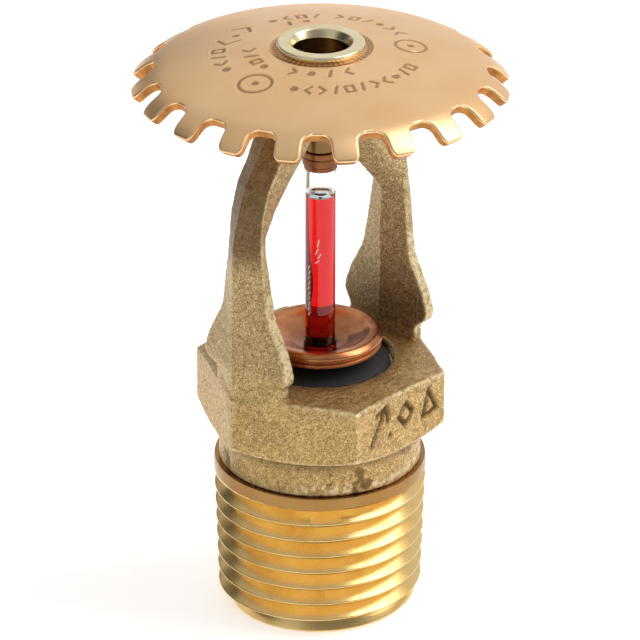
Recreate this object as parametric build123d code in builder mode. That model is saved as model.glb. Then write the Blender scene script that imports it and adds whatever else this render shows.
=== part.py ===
"""Upright fire sprinkler head with a half-inch taper pipe thread and a 3 mm glass bulb.

Millimetres. +Z runs along the waterway from the inlet to the deflector. The origin is the centre of
the inlet's end face, and the two frame arms stand in the XZ plane.
"""

from build123d import *
import os
from math import atan, cos, degrees, radians, sin, sqrt, tan

# ---- Driving dimensions ----

OVERALL_HEIGHT = 60.3

# Taper pipe thread: 14 threads to the inch, 1 in 16 on the diameter
THREAD_PITCH = 25.4 / 14
THREAD_TOP = 15.8
THREAD_MAJOR_R = 21.34 / 2
THREAD_TAPER = 1 / 32
THREAD_DEPTH = 1.35
THREAD_ROOT_WIDTH = 0.12
THREAD_FLANK = tan(radians(30))
THREAD_OVERCUT = 0.06
THREAD_LEAD_IN_R = 9.3
THREAD_LEAD_IN = 1.0

# Collar and hexagonal wrench boss
COLLAR_R = 10.1
COLLAR_TOP = 19.4
HEX_ACROSS_FLATS = 22.0
HEX_CORNER_R = HEX_ACROSS_FLATS / sqrt(3)
HEX_CORNER_BOTTOM = 20.6
HEX_CORNER_TOP = 26.0
HEX_TOP = 26.6
HEX_TOP_R = 8.2

# Waterway, seat and the recess round it
INLET_R = 6.9
INLET_LENGTH = 12.0
INLET_CHAMFER = 0.4
ORIFICE_R = 5.6
ORIFICE_START = 17.0
SEAT_Z = 25.5
RECESS_R = 7.3

# Apex hub, nosing and the tapped hole for the load screw
HUB_R = 4.2
HUB_BOTTOM = 51.7
HUB_CHAMFER = 0.5
NECK_R = 3.55
NOSING_R = 4.15
NOSING_FLARE = 0.45
NOSING_ROUND = 0.15
DEFLECTOR_GAP = 0.02
NOSING_MOUTH_R = 3.1
SCREW_BORE_R = 2.55
COUNTERBORE_R = 2.68
COUNTERBORE_Z = 56.9
MOUTH_DEPTH = 0.55
SCREW_BORE_BOTTOM = 48.7

# Deflector: a shallow dome of large radius that turns down into the teeth on a small one
DEFLECTOR_THICKNESS = 0.95
DOME_RADIUS = 59.0
DOME_BEND_ANGLE = 14.9
DOME_TOP = 59.9
BEND_RADIUS = 6.3
TOOTH_TIP_ANGLE = 52.0
TOOTH_COUNT = 20
TOOTH_PHASE = -3.2
SLOT_ROOT_R = 16.15
SLOT_ROOT_HALF = 1.25
SLOT_TIP_HALF = 1.65
SLOT_OUTER_R = 20.0
SLOT_OUTER_HALF = 2.6
SLOT_CORNER_R = 0.85
TOOTH_CORNER_R = 0.6
GRIP_RING_R = 4.6
GRIP_RING_DEPTH = 0.15

# Bulb and what holds it
BULB_R = 1.5
BULB_WALL = 0.22
BULB_BOTTOM = 26.7
BULB_TOP = 48.1
CAVITY_SHOULDER = 44.15
CAVITY_TOP = 45.05
LIQUID_TOP = 44.05
SPACER_BOTTOM = 47.0
SPACER_COLLAR_BOTTOM = 47.5
SPACER_TOP = 49.0
SPACER_R = 1.8
SPACER_LIP_R = 1.65
SPACER_EDGE = 0.1
SPACER_SEAT_R = 1.52
SPACER_SEAT_BOTTOM = 47.24
SPACER_WELL_R = 0.95
SPACER_WELL_BOTTOM = 47.81
SPACER_WELL_TOP = 48.3

# Load screw, M5 x 0.8
SCREW_R = 2.5
SCREW_PITCH = 0.8
SCREW_THREAD_DEPTH = 0.45
SCREW_ROOT_WIDTH = 0.1
SCREW_OVERCUT = 0.03
SCREW_THREAD_BOTTOM = 51.0
SCREW_TOP = 56.4
SCREW_NOSE_R = 1.65
SCREW_SOCKET = 2.5
SCREW_SOCKET_DEPTH = 2.2

# Coned spring seal, its two films and the cap that presses on them
SPRING_OUTER_R = 7.0
SPRING_INNER_R = 3.35
SPRING_RISE = 0.85
SPRING_THICKNESS = 0.45
FILM_THICKNESS = 0.1
FILM_LOWER_INNER_R = 4.4
FILM_UPPER_OUTER_R = 6.6
CAP_STEM_R = 3.2
CAP_STEM_BOTTOM = 24.9
CAP_STEM_CHAMFER = 0.3
CAP_SHOULDER_R = 4.4
CAP_BAND_R = 6.1
CAP_BAND_BOTTOM = 27.7
CAP_BAND_EDGE_R = 5.7
CAP_BAND_EDGE = 0.25
CAP_GROOVE_Z = 28.45
CAP_GROOVE_HALF = 0.12
CAP_GROOVE_DEPTH = 0.25
CAP_RIM_R = 6.25
CAP_CROWN_R = 6.05
CAP_CROWN_Z = 29.25
CAP_LIP_R = 5.1
CAP_LIP_Z = 29.35
CAP_DISH_R = 2.9
CAP_DISH_Z = 28.4
SOCKET_MOUTH_R = 1.75
SOCKET_DEPTH = 1.45

os.makedirs("parts", exist_ok=True)


def hub_top():
    """Height of the hub's shoulder, where the underside of the deflector meets it."""
    return dome_height(HUB_R) - DEFLECTOR_THICKNESS - DEFLECTOR_GAP


def dome_height(radius):
    """Height of the deflector's upper surface at a radius inside the bend."""
    return DOME_TOP - DOME_RADIUS + sqrt(DOME_RADIUS**2 - radius**2)


def thread_radius(height):
    """Crest radius of the taper thread at a height above the inlet's end face."""
    return THREAD_MAJOR_R - (THREAD_TOP - height) * THREAD_TAPER


# ---- Frame: taper thread ----

groove_start = -THREAD_PITCH
groove_end = THREAD_TOP - 0.55 * THREAD_PITCH
groove_outer = THREAD_DEPTH + THREAD_OVERCUT
root_half = THREAD_ROOT_WIDTH / 2
mouth_half = root_half + groove_outer * THREAD_FLANK

with BuildPart() as thread_groove:
    with BuildLine() as groove_path:
        Helix(
            pitch=THREAD_PITCH,
            height=groove_end - groove_start,
            radius=thread_radius(groove_start) - THREAD_DEPTH,
            center=(0, 0, groove_start),
            cone_angle=degrees(atan(THREAD_TAPER)),
        )
    groove_plane = Plane(
        origin=groove_path.line @ 0, x_dir=(1, 0, 0), z_dir=groove_path.line % 0
    )
    with BuildSketch(groove_plane):
        with BuildLine():
            Polyline(
                (0, -root_half),
                (groove_outer, -mouth_half),
                (groove_outer, mouth_half),
                (0, root_half),
                close=True,
            )
        make_face()
    sweep(path=groove_path.line, is_frenet=True)

# ---- Frame: wrench boss, a hexagon turned to a cone above and below ----

with BuildPart() as wrench_boss:
    with BuildSketch(Plane.XY.offset(COLLAR_TOP)):
        RegularPolygon(radius=HEX_CORNER_R, side_count=6)
    extrude(amount=HEX_TOP - COLLAR_TOP)
    with BuildSketch(Plane.XZ):
        with BuildLine():
            Polyline(
                (0, COLLAR_TOP),
                (COLLAR_R, COLLAR_TOP),
                (HEX_CORNER_R + 0.1, HEX_CORNER_BOTTOM),
                (HEX_CORNER_R + 0.1, HEX_CORNER_TOP),
                (HEX_TOP_R, HEX_TOP),
                (0, HEX_TOP),
                close=True,
            )
        make_face()
    revolve(axis=Axis.Z, mode=Mode.INTERSECT)

# ---- Frame: one arm, lofted up through its cross-sections ----
# Each section has an outer ridge and an inner ridge on the centre plane, joined through an outer and
# an inner fin edge on each side. Heights and distances from the axis, with half widths at the edges.
# Columns: height, outer ridge, outer edge and its half width, inner edge and its half width, inner ridge

ARM_SECTIONS = [
    (24.0, 12.5, 10.0, 4.5, 8.9, 4.5, 8.6),
    (27.8, 12.45, 10.2, 4.4, 9.1, 4.4, 8.7),
    (28.7, 12.45, 10.6, 5.4, 9.5, 5.4, 8.7),
    (29.4, 12.45, 10.7, 5.6, 9.6, 5.6, 8.7),
    (31.5, 12.45, 10.7, 4.95, 9.6, 4.95, 8.75),
    (33.0, 12.45, 10.7, 4.1, 9.6, 4.1, 8.75),
    (34.3, 12.45, 10.7, 3.4, 9.6, 3.4, 8.8),
    (35.4, 12.45, 10.7, 3.0, 9.65, 3.0, 8.8),
    (38.0, 12.45, 10.7, 2.65, 9.75, 2.65, 8.8),
    (41.7, 12.35, 10.7, 2.2, 10.0, 2.2, 8.95),
    (43.3, 12.1, 10.6, 2.1, 9.9, 2.05, 7.75),
    (45.5, 11.5, 10.3, 2.1, 8.1, 1.65, 5.75),
    (48.0, 10.6, 9.5, 2.1, 6.0, 1.6, 3.55),
    (50.0, 9.4, 8.2, 2.1, 4.6, 1.9, 2.7),
    (51.5, 8.3, 7.2, 2.3, 3.8, 2.2, 2.0),
    (53.2, 6.4, 5.5, 2.4, 2.9, 2.3, 1.5),
    (55.5, 4.1, 3.6, 2.4, 1.6, 2.3, 1.0),
]

with BuildPart() as arm:
    for height, ridge, edge, half_width, inner_edge, inner_half, inner_ridge in ARM_SECTIONS:
        with BuildSketch(Plane.XY.offset(height)):
            with BuildLine():
                Polyline(
                    (ridge, 0),
                    (edge, half_width),
                    (inner_edge, inner_half),
                    (inner_ridge, 0),
                    (inner_edge, -inner_half),
                    (edge, -half_width),
                    close=True,
                )
            make_face()
    loft(ruled=True)

# ---- Frame ----

with BuildPart() as frame:
    # Threaded shank and collar
    with BuildSketch(Plane.XZ):
        with BuildLine():
            Polyline(
                (0, 0),
                (THREAD_LEAD_IN_R, 0),
                (thread_radius(THREAD_LEAD_IN), THREAD_LEAD_IN),
                (thread_radius(THREAD_TOP), THREAD_TOP),
                (COLLAR_R, THREAD_TOP),
                (COLLAR_R, COLLAR_TOP),
                (0, COLLAR_TOP),
                close=True,
            )
        make_face()
    revolve(axis=Axis.Z)
    add(thread_groove.part, mode=Mode.SUBTRACT)
    add(wrench_boss.part)
    with PolarLocations(0, 2):
        add(arm.part)
    # Hub, neck through the deflector, and the nosing turned out over it
    nosing_under = dome_height(NECK_R)
    with BuildSketch(Plane.XZ):
        with BuildLine():
            Polyline(
                (0, HUB_BOTTOM),
                (HUB_R - HUB_CHAMFER, HUB_BOTTOM),
                (HUB_R, HUB_BOTTOM + HUB_CHAMFER),
                (HUB_R, hub_top()),
                (NECK_R, hub_top()),
                (NECK_R, nosing_under - NOSING_FLARE),
                (NOSING_R, nosing_under + DEFLECTOR_GAP),
                (NOSING_R, OVERALL_HEIGHT - NOSING_ROUND),
                (NOSING_R - NOSING_ROUND, OVERALL_HEIGHT),
                (0, OVERALL_HEIGHT),
                close=True,
            )
        make_face()
    revolve(axis=Axis.Z)
    # Waterway with the seat recess at its top
    with BuildSketch(Plane.XZ):
        with BuildLine():
            Polyline(
                (0, 0),
                (INLET_R + INLET_CHAMFER, 0),
                (INLET_R, INLET_CHAMFER),
                (INLET_R, INLET_CHAMFER + INLET_LENGTH),
                (ORIFICE_R, ORIFICE_START),
                (ORIFICE_R, SEAT_Z),
                (RECESS_R, SEAT_Z),
                (RECESS_R, HEX_TOP),
                (0, HEX_TOP),
                close=True,
            )
        make_face()
    revolve(axis=Axis.Z, mode=Mode.SUBTRACT)
    # Load screw's hole, counterbored and flared at the top
    with BuildSketch(Plane.XZ):
        with BuildLine():
            Polyline(
                (0, SCREW_BORE_BOTTOM),
                (SCREW_BORE_R, SCREW_BORE_BOTTOM),
                (SCREW_BORE_R, COUNTERBORE_Z),
                (COUNTERBORE_R, COUNTERBORE_Z),
                (COUNTERBORE_R, OVERALL_HEIGHT - MOUTH_DEPTH),
                (NOSING_MOUTH_R, OVERALL_HEIGHT),
                (0, OVERALL_HEIGHT),
                close=True,
            )
        make_face()
    revolve(axis=Axis.Z, mode=Mode.SUBTRACT)

# ---- Deflector ----

bend = radians(DOME_BEND_ANGLE)
dome_centre = (0, DOME_TOP - DOME_RADIUS)
bend_centre = (
    (DOME_RADIUS - BEND_RADIUS) * sin(bend),
    dome_centre[1] + (DOME_RADIUS - BEND_RADIUS) * cos(bend),
)


def dome_arc(radius, hole_radius):
    """Arc of the dome from the central hole to where the teeth start to bend down."""
    hole_angle = degrees(atan(hole_radius / sqrt(radius**2 - hole_radius**2)))
    return CenterArc(
        center=dome_centre,
        radius=radius,
        start_angle=90 - hole_angle,
        arc_size=hole_angle - DOME_BEND_ANGLE,
    )


def bend_arc(radius):
    """Arc of the bent rim, tangent to the dome, down to the tips of the teeth."""
    return CenterArc(
        center=bend_centre,
        radius=radius,
        start_angle=90 - DOME_BEND_ANGLE,
        arc_size=DOME_BEND_ANGLE - TOOTH_TIP_ANGLE,
    )


# One slot seen from above, flared at the tips so that the teeth have rounded corners
tooth_tip_r = bend_centre[0] + BEND_RADIUS * sin(radians(TOOTH_TIP_ANGLE)) + DEFLECTOR_GAP

with BuildSketch() as slot:
    with BuildLine():
        Polyline(
            (SLOT_ROOT_R, SLOT_ROOT_HALF),
            (tooth_tip_r, SLOT_TIP_HALF),
            (tooth_tip_r, SLOT_OUTER_HALF),
            (SLOT_OUTER_R, SLOT_OUTER_HALF),
            (SLOT_OUTER_R, -SLOT_OUTER_HALF),
            (tooth_tip_r, -SLOT_OUTER_HALF),
            (tooth_tip_r, -SLOT_TIP_HALF),
            (SLOT_ROOT_R, -SLOT_ROOT_HALF),
            close=True,
        )
    make_face()
    root_corners = slot.vertices().group_by(Axis.X)[0]
    tip_corners = slot.vertices().group_by(Axis.X)[1].sort_by(lambda corner: abs(corner.Y))[:2]
    fillet(root_corners, radius=SLOT_CORNER_R)
    fillet(tip_corners, radius=TOOTH_CORNER_R)

with BuildPart() as deflector:
    with BuildSketch(Plane.XZ):
        with BuildLine():
            upper_dome = dome_arc(DOME_RADIUS, NECK_R)
            upper_bend = bend_arc(BEND_RADIUS)
            lower_bend = bend_arc(BEND_RADIUS - DEFLECTOR_THICKNESS)
            lower_dome = dome_arc(DOME_RADIUS - DEFLECTOR_THICKNESS, NECK_R)
            Line(upper_bend @ 1, lower_bend @ 1)
            Line(upper_dome @ 0, lower_dome @ 0)
        make_face()
    revolve(axis=Axis.Z)
    # Slots between the teeth
    with BuildSketch(Plane.XY.offset(OVERALL_HEIGHT)):
        with PolarLocations(0, TOOTH_COUNT, start_angle=TOOTH_PHASE + 180 / TOOTH_COUNT):
            add(slot.sketch)
    extrude(amount=-OVERALL_HEIGHT, mode=Mode.SUBTRACT)
    # Countersink under the nosing, and the shallow ring round it
    with BuildSketch(Plane.XZ):
        with BuildLine():
            Polyline(
                (0, nosing_under - NOSING_FLARE),
                (NECK_R, nosing_under - NOSING_FLARE),
                (NOSING_R, nosing_under + DEFLECTOR_GAP),
                (NOSING_R, nosing_under - GRIP_RING_DEPTH),
                (GRIP_RING_R, nosing_under - GRIP_RING_DEPTH),
                (GRIP_RING_R, OVERALL_HEIGHT),
                (0, OVERALL_HEIGHT),
                close=True,
            )
        make_face()
    revolve(axis=Axis.Z, mode=Mode.SUBTRACT)

# ---- Load screw ----

screw_root_half = SCREW_ROOT_WIDTH / 2
screw_groove_outer = SCREW_THREAD_DEPTH + SCREW_OVERCUT
screw_mouth_half = screw_root_half + screw_groove_outer * THREAD_FLANK

with BuildPart() as screw_groove:
    with BuildLine() as screw_path:
        Helix(
            pitch=SCREW_PITCH,
            height=SCREW_TOP - SCREW_THREAD_BOTTOM + 2 * SCREW_PITCH,
            radius=SCREW_R - SCREW_THREAD_DEPTH,
            center=(0, 0, SCREW_THREAD_BOTTOM - SCREW_PITCH),
        )
    screw_plane = Plane(
        origin=screw_path.line @ 0, x_dir=(1, 0, 0), z_dir=screw_path.line % 0
    )
    with BuildSketch(screw_plane):
        with BuildLine():
            Polyline(
                (0, -screw_root_half),
                (screw_groove_outer, -screw_mouth_half),
                (screw_groove_outer, screw_mouth_half),
                (0, screw_root_half),
                close=True,
            )
        make_face()
    sweep(path=screw_path.line, is_frenet=True)

with BuildPart() as load_screw:
    with BuildSketch(Plane.XZ):
        with BuildLine():
            Polyline(
                (0, SPACER_TOP),
                (SCREW_NOSE_R, SPACER_TOP),
                (SCREW_NOSE_R, SCREW_THREAD_BOTTOM),
                (SCREW_R - SCREW_THREAD_DEPTH, SCREW_THREAD_BOTTOM),
                (SCREW_R, SCREW_THREAD_BOTTOM + SCREW_THREAD_DEPTH),
                (SCREW_R, SCREW_TOP - SCREW_THREAD_DEPTH),
                (SCREW_R - SCREW_THREAD_DEPTH, SCREW_TOP),
                (0, SCREW_TOP),
                close=True,
            )
        make_face()
    revolve(axis=Axis.Z)
    add(screw_groove.part, mode=Mode.SUBTRACT)
    with BuildSketch(Plane.XY.offset(SCREW_TOP)):
        RegularPolygon(radius=SCREW_SOCKET / 2, side_count=6, major_radius=False)
    extrude(amount=-SCREW_SOCKET_DEPTH, mode=Mode.SUBTRACT)

# ---- Bulb: glass tube with round ends, its cavity closed by thick glass at the top ----

cavity_r = BULB_R - BULB_WALL
cavity_low = BULB_BOTTOM + BULB_R

with BuildPart() as bulb_glass:
    with BuildSketch(Plane.XZ):
        with BuildLine():
            Line((0, BULB_BOTTOM), (0, BULB_TOP))
            CenterArc((0, BULB_TOP - BULB_R), BULB_R, 90, -90)
            Line((BULB_R, BULB_TOP - BULB_R), (BULB_R, cavity_low))
            CenterArc((0, cavity_low), BULB_R, 0, -90)
        make_face()
    revolve(axis=Axis.Z)
    with BuildSketch(Plane.XZ):
        with BuildLine():
            Line((0, cavity_low - cavity_r), (0, CAVITY_TOP))
            Spline(
                (0, CAVITY_TOP),
                (cavity_r, CAVITY_SHOULDER),
                tangents=((1, 0), (0, -1)),
            )
            Line((cavity_r, CAVITY_SHOULDER), (cavity_r, cavity_low))
            CenterArc((0, cavity_low), cavity_r, 0, -90)
        make_face()
    revolve(axis=Axis.Z, mode=Mode.SUBTRACT)

with BuildPart() as bulb_liquid:
    with BuildSketch(Plane.XZ):
        with BuildLine():
            Line((0, cavity_low - cavity_r), (0, LIQUID_TOP))
            Line((0, LIQUID_TOP), (cavity_r, LIQUID_TOP))
            Line((cavity_r, LIQUID_TOP), (cavity_r, cavity_low))
            CenterArc((0, cavity_low), cavity_r, 0, -90)
        make_face()
    revolve(axis=Axis.Z)

# ---- Bulb spacer: copper cup with a skirt round the bulb and a conical seat ----

with BuildPart() as bulb_spacer:
    with BuildSketch(Plane.XZ):
        with BuildLine():
            Polyline(
                (SPACER_SEAT_R, SPACER_BOTTOM),
                (SPACER_LIP_R, SPACER_BOTTOM),
                (SPACER_LIP_R, SPACER_COLLAR_BOTTOM),
                (SPACER_R - SPACER_EDGE, SPACER_COLLAR_BOTTOM),
                (SPACER_R, SPACER_COLLAR_BOTTOM + SPACER_EDGE),
                (SPACER_R, SPACER_TOP - SPACER_EDGE),
                (SPACER_R - SPACER_EDGE, SPACER_TOP),
                (0, SPACER_TOP),
                (0, SPACER_WELL_TOP),
                (SPACER_WELL_R, SPACER_WELL_TOP),
                (SPACER_WELL_R, SPACER_WELL_BOTTOM),
                (SPACER_SEAT_R, SPACER_SEAT_BOTTOM),
                close=True,
            )
        make_face()
    revolve(axis=Axis.Z)

# ---- Spring seal and its films, all parallel to one cone ----

cone_slope = SPRING_RISE / (SPRING_OUTER_R - SPRING_INNER_R)
spring_bottom = SEAT_Z + FILM_THICKNESS
spring_top = spring_bottom + SPRING_THICKNESS


def coned_washer(inner_radius, outer_radius, bottom, thickness):
    """Corners of a coned washer's section, whose underside is at `bottom` at the spring's outer edge."""
    inner = bottom + cone_slope * (SPRING_OUTER_R - inner_radius)
    outer = bottom + cone_slope * (SPRING_OUTER_R - outer_radius)
    return [
        (inner_radius, inner),
        (outer_radius, outer),
        (outer_radius, outer + thickness),
        (inner_radius, inner + thickness),
    ]


with BuildPart() as seal_film_lower:
    with BuildSketch(Plane.XZ):
        with BuildLine():
            Polyline(
                coned_washer(FILM_LOWER_INNER_R, SPRING_OUTER_R, SEAT_Z, FILM_THICKNESS),
                close=True,
            )
        make_face()
    revolve(axis=Axis.Z)

with BuildPart() as spring_seal:
    with BuildSketch(Plane.XZ):
        with BuildLine():
            Polyline(
                coned_washer(SPRING_INNER_R, SPRING_OUTER_R, spring_bottom, SPRING_THICKNESS),
                close=True,
            )
        make_face()
    revolve(axis=Axis.Z)

with BuildPart() as seal_film_upper:
    with BuildSketch(Plane.XZ):
        with BuildLine():
            Polyline(
                coned_washer(SPRING_INNER_R, FILM_UPPER_OUTER_R, spring_top, FILM_THICKNESS),
                close=True,
            )
        make_face()
    revolve(axis=Axis.Z)

# ---- Pip cap: a turned dish with a stem through the spring and a socket for the bulb ----

cap_under = spring_top + FILM_THICKNESS + cone_slope * (SPRING_OUTER_R - SPRING_INNER_R)
socket_mouth = BULB_BOTTOM + SOCKET_DEPTH

with BuildPart() as pip_cap:
    with BuildSketch(Plane.XZ):
        with BuildLine():
            Polyline(
                (SOCKET_MOUTH_R, socket_mouth),
                (BULB_R, socket_mouth),
                (BULB_R, BULB_BOTTOM),
                (0, BULB_BOTTOM),
                (0, CAP_STEM_BOTTOM),
                (CAP_STEM_R - CAP_STEM_CHAMFER, CAP_STEM_BOTTOM),
                (CAP_STEM_R, CAP_STEM_BOTTOM + CAP_STEM_CHAMFER),
                (CAP_STEM_R, cap_under),
                (CAP_SHOULDER_R, cap_under),
                (CAP_BAND_EDGE_R, CAP_BAND_BOTTOM),
                (CAP_BAND_R, CAP_BAND_BOTTOM + CAP_BAND_EDGE),
                (CAP_BAND_R, CAP_GROOVE_Z - CAP_GROOVE_HALF),
                (CAP_BAND_R - CAP_GROOVE_DEPTH, CAP_GROOVE_Z),
                (CAP_RIM_R, CAP_GROOVE_Z + CAP_GROOVE_HALF),
            )
            ThreePointArc(
                (CAP_RIM_R, CAP_GROOVE_Z + CAP_GROOVE_HALF),
                (CAP_CROWN_R, CAP_CROWN_Z),
                (CAP_LIP_R, CAP_LIP_Z),
            )
            Spline(
                (CAP_LIP_R, CAP_LIP_Z),
                (CAP_DISH_R, CAP_DISH_Z),
                (SOCKET_MOUTH_R, socket_mouth),
                tangents=((-0.6, -0.6), (-1.0, -0.15)),
            )
        make_face()
    revolve(axis=Axis.Z)

# ---- Write the pieces ----

PIECES = {
    "frame": frame,
    "deflector": deflector,
    "load_screw": load_screw,
    "bulb_spacer": bulb_spacer,
    "bulb_glass": bulb_glass,
    "bulb_liquid": bulb_liquid,
    "pip_cap": pip_cap,
    "spring_seal": spring_seal,
    "seal_film_lower": seal_film_lower,
    "seal_film_upper": seal_film_upper,
}

for name, piece in PIECES.items():
    piece.part.label = name
    export_step(piece.part, f"parts/{name}.step")
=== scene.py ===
"""Looks of an upright fire sprinkler head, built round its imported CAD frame.

Shapes are worked out in millimetres in the frame of the CAD model, +Z up along the waterway and the
two arms in the XZ plane, and turned into metres when each mesh is made.
"""

from contextlib import contextmanager
from math import atan2, ceil, cos, pi, radians, sin, sqrt

import bmesh
import bpy
import numpy as np
from mathutils import Matrix, Vector, noise


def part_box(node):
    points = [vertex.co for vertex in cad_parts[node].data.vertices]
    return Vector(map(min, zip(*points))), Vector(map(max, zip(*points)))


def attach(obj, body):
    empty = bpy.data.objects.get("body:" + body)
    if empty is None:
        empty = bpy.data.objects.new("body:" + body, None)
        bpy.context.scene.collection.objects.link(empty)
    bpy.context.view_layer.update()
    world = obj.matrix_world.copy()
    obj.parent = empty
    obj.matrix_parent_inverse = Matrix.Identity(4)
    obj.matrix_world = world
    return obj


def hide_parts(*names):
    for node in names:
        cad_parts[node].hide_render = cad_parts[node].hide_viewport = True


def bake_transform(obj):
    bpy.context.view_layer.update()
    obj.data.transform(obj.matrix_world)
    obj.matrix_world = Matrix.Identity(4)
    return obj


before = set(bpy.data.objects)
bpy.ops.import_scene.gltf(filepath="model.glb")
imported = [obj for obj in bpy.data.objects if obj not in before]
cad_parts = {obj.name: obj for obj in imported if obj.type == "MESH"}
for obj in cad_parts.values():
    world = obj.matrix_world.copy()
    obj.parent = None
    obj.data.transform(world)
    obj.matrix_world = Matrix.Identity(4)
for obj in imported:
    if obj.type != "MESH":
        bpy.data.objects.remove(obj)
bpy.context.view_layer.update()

MM = 0.001
TAU = 2 * pi


def heights(node):
    """Lowest and highest height of a CAD node at rest, in millimetres."""
    low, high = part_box(node)
    return low[2] / MM, high[2] / MM


# ---- Where the CAD frame puts things ----

HEIGHT = heights("frame")[1]
BULB_LOW, BULB_HIGH = heights("bulb_glass")
SCREW_LOW, SCREW_HIGH = heights("load_screw")
LIQUID_TOP = heights("bulb_liquid")[1]

# ---- Sizes that repeat the CAD model's ----

THREAD_PITCH = 25.4 / 14
THREAD_TOP = 15.8
THREAD_MAJOR_R = 10.67
THREAD_TAPER = 1 / 32
THREAD_DEPTH = 1.3
THREAD_RUNOUT = 14.4
RUNOUT_TAPER = 0.12
RUNOUT_EARLY = 0.5
# The lead-in is a little longer here than the CAD model's, and starts further in
LEAD_IN_R = 9.1
LEAD_IN = 1.3
INLET_R = 6.9
INLET_LENGTH = 12.0
INLET_CHAMFER = 0.4
ORIFICE_R = 5.6
ORIFICE_START = 17.0
# The bore's funnel ends this much wider than the orifice
LINER_GAP = 0.35
SEAT_Z = 25.5
RECESS_R = 7.3
BOSS_TOP = 26.6
BOSS_FLAT = 11.0
COLLAR_TOP = 19.4

NECK_R = 3.55
# The nosing's lip is a little wider here than the CAD model's
NOSING_R = 4.3
MOUTH_R = 3.1
SCREW_BORE_R = 2.6
SCREW_PITCH = 0.8
TAPPED_DEPTH = 0.3
COUNTERBORE_R = 2.68
COUNTERBORE_Z = 56.9

DOME_R = 59.0
DOME_BEND = radians(14.9)
DOME_TOP = 59.9
BEND_R = 6.3
TIP_ANGLE = radians(52.0)
PLATE = 0.95
TOOTH_COUNT = 20
TOOTH_PHASE = radians(-3.2)
SLOT_ROOT_R = 16.15
SLOT_ROOT_HALF = 1.25
SLOT_TIP_HALF = 1.65
SLOT_CORNER = 0.85
TOOTH_CORNER = 0.6

BULB_R = 1.5
BULB_WALL = 0.22

# Further than any distance that matters, in millimetres
FAR = 9.0

# ---- Mesh helpers ----


def linked(name, mesh):
    """A new object that shows a mesh."""
    obj = bpy.data.objects.new(name, mesh)
    bpy.context.scene.collection.objects.link(obj)
    return obj


@contextmanager
def editing(mesh):
    """An editable copy of a mesh, written back at the end."""
    bm = bmesh.new()
    bm.from_mesh(mesh)
    yield bm
    bm.to_mesh(mesh)
    bm.free()


def piece(name, shape, body, materials, nodes=(), crease=40.0):
    """A closed mesh that rides on a body and stands for CAD nodes.

    Its shape is points in millimetres and faces.
    """
    points, faces = shape
    mesh = bpy.data.meshes.new(name)
    mesh.from_pydata(np.asarray(points, float).tolist(), [], [list(f) for f in faces])
    obj = linked(name, mesh)
    with editing(mesh) as bm:
        bmesh.ops.remove_doubles(bm, verts=bm.verts, dist=1e-5)
        bmesh.ops.dissolve_degenerate(bm, edges=bm.edges, dist=1e-6)
        bmesh.ops.recalc_face_normals(bm, faces=bm.faces)
    return dress(obj, body, materials, nodes, crease)


def dress(obj, body, materials, nodes=(), crease=40.0):
    """Scales a millimetre mesh to metres, shades it, and ties it to the frame.

    A piece given no body is not tied to one here.
    """
    mesh = obj.data
    mesh.transform(Matrix.Scale(MM, 4))
    mesh.materials.clear()
    for material in materials:
        mesh.materials.append(material)
    mesh.shade_smooth()
    mesh.set_sharp_from_angle(angle=radians(crease))
    mesh.update()
    if body:
        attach(obj, body)
    if nodes:
        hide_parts(*nodes)
    return obj


def point_values(mesh, **values):
    """Stores numbers on a mesh's points, for its material to read."""
    for name, numbers in values.items():
        attribute = mesh.attributes.new(name, "FLOAT", "POINT")
        attribute.data.foreach_set("value", numbers.astype(np.float32))


def second_look(obj, chosen):
    """Gives the second material to the faces for which chosen(centre in millimetres, normal) holds."""
    for polygon in obj.data.polygons:
        if chosen(polygon.center / MM, polygon.normal):
            polygon.material_index = 1


def ramp(value, start, run):
    """0 up to the start, rising to 1 over the run; with a negative run, 1 below and falling to 0."""
    return np.clip((value - start) / run, 0, 1)


def noise_at(places):
    """Smooth noise from -1 to 1 at each place, with features about one unit across."""
    return np.array([noise.noise(Vector(p)) for p in places])


def rounded(corners, steps=5):
    """Outline through (radius, height, fillet) corners, each fillet drawn as an arc."""
    points = []
    for i, (r, z, fillet) in enumerate(corners):
        here = np.array([r, z], float)
        if not fillet:
            points.append(here)
            continue
        before = np.array(corners[i - 1][:2], float) - here
        after = np.array(corners[i + 1 - len(corners)][:2], float) - here
        long_before, long_after = np.linalg.norm(before), np.linalg.norm(after)
        before, after = before / long_before, after / long_after
        half = np.arccos(np.clip(before @ after, -1, 1)) / 2
        reach = min(fillet / np.tan(half), 0.49 * long_before, 0.49 * long_after)
        radius = reach * np.tan(half)
        centre = here + (before + after) / np.linalg.norm(before + after) * radius / np.sin(half)
        start = here + before * reach - centre
        end = here + after * reach - centre
        turn = atan2(start[0] * end[1] - start[1] * end[0], start @ end)
        across = np.array([-start[1], start[0]])
        for angle in np.linspace(0, turn, steps + 1):
            points.append(centre + start * cos(angle) + across * sin(angle))
    return np.array(points)


def refined(outline, longest, closed=False):
    """The outline with extra points so that no run is longer than a length."""
    points = []
    following = [*outline[1:], outline[0]] if closed else outline[1:]
    for a, b in zip(outline, following):
        parts = max(1, ceil(np.linalg.norm(b - a) / longest))
        points += [a + (b - a) * k / parts for k in range(parts)]
    return np.array(points if closed else [*points, outline[-1]])


def ring(radius, height, angles):
    """A ring of points at the given angles; radius and height are numbers or one value per angle."""
    radius = np.broadcast_to(radius, angles.shape)
    height = np.broadcast_to(height, angles.shape)
    return np.stack([radius * np.cos(angles), radius * np.sin(angles), height], axis=1)


def even_angles(columns):
    return np.arange(columns) * TAU / columns


def quads(*corners):
    """Four-sided faces from four equal arrays of point numbers, one for each corner."""
    return np.stack(corners, axis=-1).reshape(-1, 4).tolist()


def stitched(one, other):
    """Faces between two closed loops of point numbers."""
    return quads(np.roll(one, 1), one, other, np.roll(other, 1))


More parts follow.
